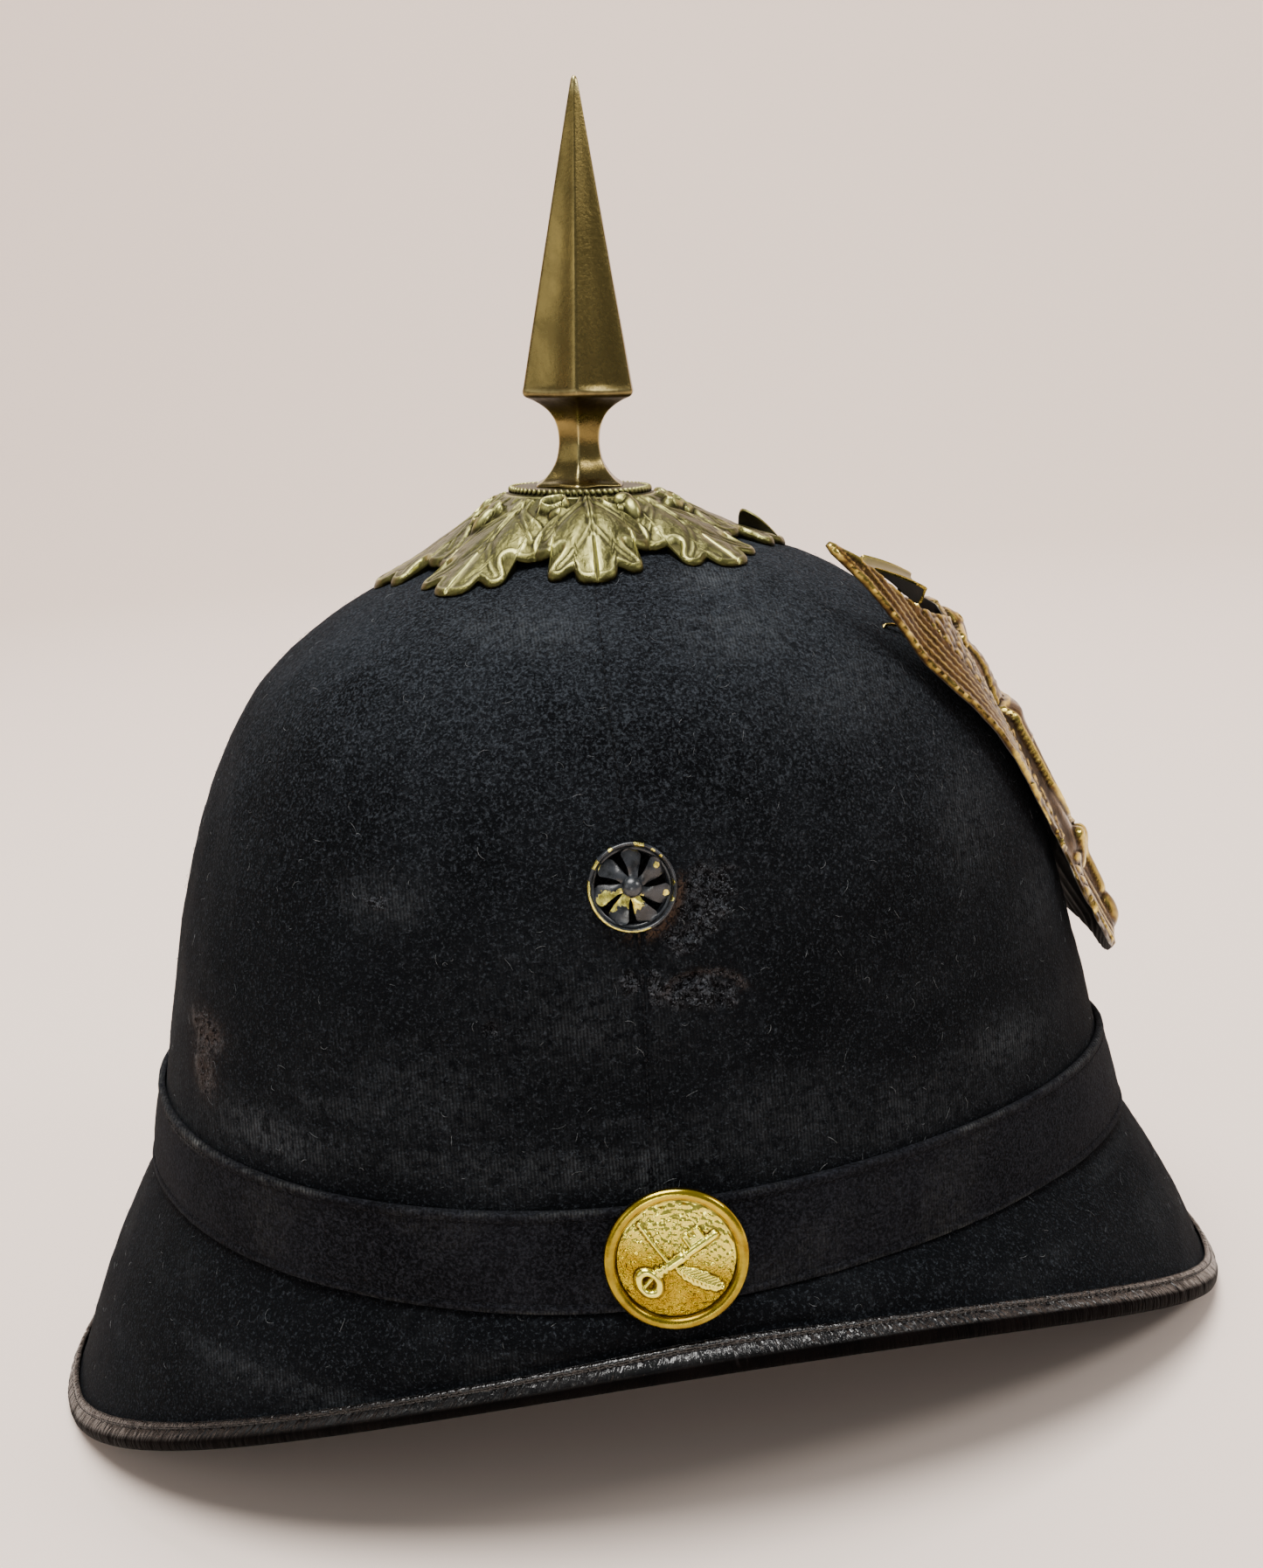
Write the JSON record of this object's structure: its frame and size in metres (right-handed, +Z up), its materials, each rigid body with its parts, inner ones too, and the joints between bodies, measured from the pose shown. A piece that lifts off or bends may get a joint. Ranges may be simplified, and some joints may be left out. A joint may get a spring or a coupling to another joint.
{
  "type": "spiked pith helmet",
  "caption": "Cloth-covered dress helmet with a brass spike on an oak leaf mount, a stamped eagle plate, a folded band, round side vents and buttons, and a leather-bound brim.",
  "frame": {"origin": "middle of the base of the helmet's box, on the surface it rests on", "axes": "+X to the wearer's front, +Y to the wearer's left, +Z up"},
  "size_m": [0.3043, 0.213, 0.3096],
  "materials": {
    "felt": "matte napped cloth",
    "band_cloth": "matte folded cloth",
    "edge_leather": "cracked glossy edge leather",
    "pale_brass": "aged satin",
    "dark_brass": "tarnished satin",
    "painted_brass": "chipped black paint",
    "gilt": "bright gilt",
    "worn_gilt": "worn gilt"
  },
  "bodies": {
    "root": {"shell": "felt", "hat_band": "band_cloth", "edge_binding": "edge_leather", "leaf_base": "pale_brass", "spike": "dark_brass", "vent_right": "painted_brass", "vent_left": "painted_brass", "button_right": "gilt", "button_left": "gilt", "front_plate": "worn_gilt"}
  },
  "joints": []
}
